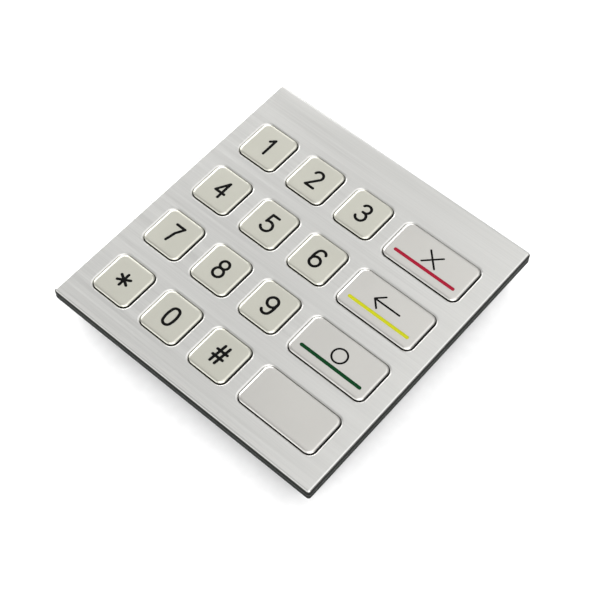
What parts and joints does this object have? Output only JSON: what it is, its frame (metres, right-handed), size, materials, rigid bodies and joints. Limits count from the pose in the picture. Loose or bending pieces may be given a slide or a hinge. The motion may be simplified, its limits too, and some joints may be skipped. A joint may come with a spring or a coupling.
{
  "type": "panel-mount metal keypad",
  "caption": "Flat square panel-mount metal keypad: sprung number keys and wide colour-barred function keys in a brushed plate, with a shallow electronics cover behind.",
  "frame": {"origin": "centre of the four mounting studs, on the flange's rear face", "axes": "+Z out of the key faces, +X towards the function keys, +Y towards the top row of keys"},
  "size_m": [0.102, 0.105, 0.0142],
  "materials": {
    "face_plate": "fine brushed grain along the plate's width",
    "number_keys": "satin, slightly warm",
    "function_keys": "satin",
    "backing_frame": "dull mill finish with dark cut edges",
    "gasket": "matt",
    "silicone": "matt",
    "circuit_board": "solder mask over fibreglass",
    "contact_pads": "gold plated",
    "chip_bodies": "moulded epoxy",
    "chip_leads": "tinned",
    "crystal_can": "drawn metal can",
    "capacitors": "fired ceramic",
    "resistors": "glazed ceramic",
    "connector_body": "moulded nylon",
    "connector_pins": "gold flashed",
    "plated_screws": "zinc plated",
    "black_screws": "black oxide",
    "studs": "turned",
    "rear_cover": "fine moulded texture",
    "legend_ink": "black paint filled into the engraved legends",
    "cancel_red": "red paint",
    "correct_yellow": "yellow paint",
    "confirm_green": "dark green paint",
    "label_foil": "blank rating label"
  },
  "bodies": {
    "panel": {"front_plate": "face_plate", "plate_gasket": "gasket", "backing_frame": "backing_frame", "keymat": "silicone", "dome_1": "silicone", "dome_2": "silicone", "dome_3": "silicone", "dome_cancel": "silicone", "dome_4": "silicone", "dome_5": "silicone", "dome_6": "silicone", "dome_correct": "silicone", "dome_7": "silicone", "dome_8": "silicone", "dome_9": "silicone", "dome_confirm": "silicone", "dome_star": "silicone", "dome_0": "silicone", "dome_hash": "silicone", "dome_blank": "silicone", "circuit_board": "circuit_board", "contact_pads": "contact_pads", "controller_chip": "chip_bodies", "line_driver_chip": "chip_bodies", "chip_leads": "chip_leads", "crystal": "crystal_can", "capacitors": "capacitors", "resistors": "resistors", "interface_connector": "connector_body", "connector_pins": "connector_pins", "board_screws": "plated_screws", "cover_screws": "black_screws", "frame_screws": "plated_screws", "mounting_studs": "studs", "rear_cover": "rear_cover"},
    "key_1": {"key_1": "number_keys"},
    "key_2": {"key_2": "number_keys"},
    "key_3": {"key_3": "number_keys"},
    "key_cancel": {"key_cancel": "function_keys"},
    "key_4": {"key_4": "number_keys"},
    "key_5": {"key_5": "number_keys"},
    "key_6": {"key_6": "number_keys"},
    "key_correct": {"key_correct": "function_keys"},
    "key_7": {"key_7": "number_keys"},
    "key_8": {"key_8": "number_keys"},
    "key_9": {"key_9": "number_keys"},
    "key_confirm": {"key_confirm": "function_keys"},
    "key_star": {"key_star": "number_keys"},
    "key_0": {"key_0": "number_keys"},
    "key_hash": {"key_hash": "number_keys"},
    "key_blank": {"key_blank": "function_keys"}
  },
  "joints": [
    {"name": "press_1", "type": "slide", "parent": "panel", "child": "key_1", "axis": [0, 0, -1], "range_m": [0, 0.0007], "stiffness_N_per_m": 400, "springref_m": -0.002, "deforming": ["dome_1"]},
    {"name": "press_2", "type": "slide", "parent": "panel", "child": "key_2", "axis": [0, 0, -1], "range_m": [0, 0.0007], "stiffness_N_per_m": 400, "springref_m": -0.002, "deforming": ["dome_2"]},
    {"name": "press_3", "type": "slide", "parent": "panel", "child": "key_3", "axis": [0, 0, -1], "range_m": [0, 0.0007], "stiffness_N_per_m": 400, "springref_m": -0.002, "deforming": ["dome_3"]},
    {"name": "press_cancel", "type": "slide", "parent": "panel", "child": "key_cancel", "axis": [0, 0, -1], "range_m": [0, 0.0007], "stiffness_N_per_m": 400, "springref_m": -0.002, "deforming": ["dome_cancel"]},
    {"name": "press_4", "type": "slide", "parent": "panel", "child": "key_4", "axis": [0, 0, -1], "range_m": [0, 0.0007], "stiffness_N_per_m": 400, "springref_m": -0.002, "deforming": ["dome_4"]},
    {"name": "press_5", "type": "slide", "parent": "panel", "child": "key_5", "axis": [0, 0, -1], "range_m": [0, 0.0007], "stiffness_N_per_m": 400, "springref_m": -0.002, "deforming": ["dome_5"]},
    {"name": "press_6", "type": "slide", "parent": "panel", "child": "key_6", "axis": [0, 0, -1], "range_m": [0, 0.0007], "stiffness_N_per_m": 400, "springref_m": -0.002, "deforming": ["dome_6"]},
    {"name": "press_correct", "type": "slide", "parent": "panel", "child": "key_correct", "axis": [0, 0, -1], "range_m": [0, 0.0007], "stiffness_N_per_m": 400, "springref_m": -0.002, "deforming": ["dome_correct"]},
    {"name": "press_7", "type": "slide", "parent": "panel", "child": "key_7", "axis": [0, 0, -1], "range_m": [0, 0.0007], "stiffness_N_per_m": 400, "springref_m": -0.002, "deforming": ["dome_7"]},
    {"name": "press_8", "type": "slide", "parent": "panel", "child": "key_8", "axis": [0, 0, -1], "range_m": [0, 0.0007], "stiffness_N_per_m": 400, "springref_m": -0.002, "deforming": ["dome_8"]},
    {"name": "press_9", "type": "slide", "parent": "panel", "child": "key_9", "axis": [0, 0, -1], "range_m": [0, 0.0007], "stiffness_N_per_m": 400, "springref_m": -0.002, "deforming": ["dome_9"]},
    {"name": "press_confirm", "type": "slide", "parent": "panel", "child": "key_confirm", "axis": [0, 0, -1], "range_m": [0, 0.0007], "stiffness_N_per_m": 400, "springref_m": -0.002, "deforming": ["dome_confirm"]},
    {"name": "press_star", "type": "slide", "parent": "panel", "child": "key_star", "axis": [0, 0, -1], "range_m": [0, 0.0007], "stiffness_N_per_m": 400, "springref_m": -0.002, "deforming": ["dome_star"]},
    {"name": "press_0", "type": "slide", "parent": "panel", "child": "key_0", "axis": [0, 0, -1], "range_m": [0, 0.0007], "stiffness_N_per_m": 400, "springref_m": -0.002, "deforming": ["dome_0"]},
    {"name": "press_hash", "type": "slide", "parent": "panel", "child": "key_hash", "axis": [0, 0, -1], "range_m": [0, 0.0007], "stiffness_N_per_m": 400, "springref_m": -0.002, "deforming": ["dome_hash"]},
    {"name": "press_blank", "type": "slide", "parent": "panel", "child": "key_blank", "axis": [0, 0, -1], "range_m": [0, 0.0007], "stiffness_N_per_m": 400, "springref_m": -0.002, "deforming": ["dome_blank"]}
  ]
}
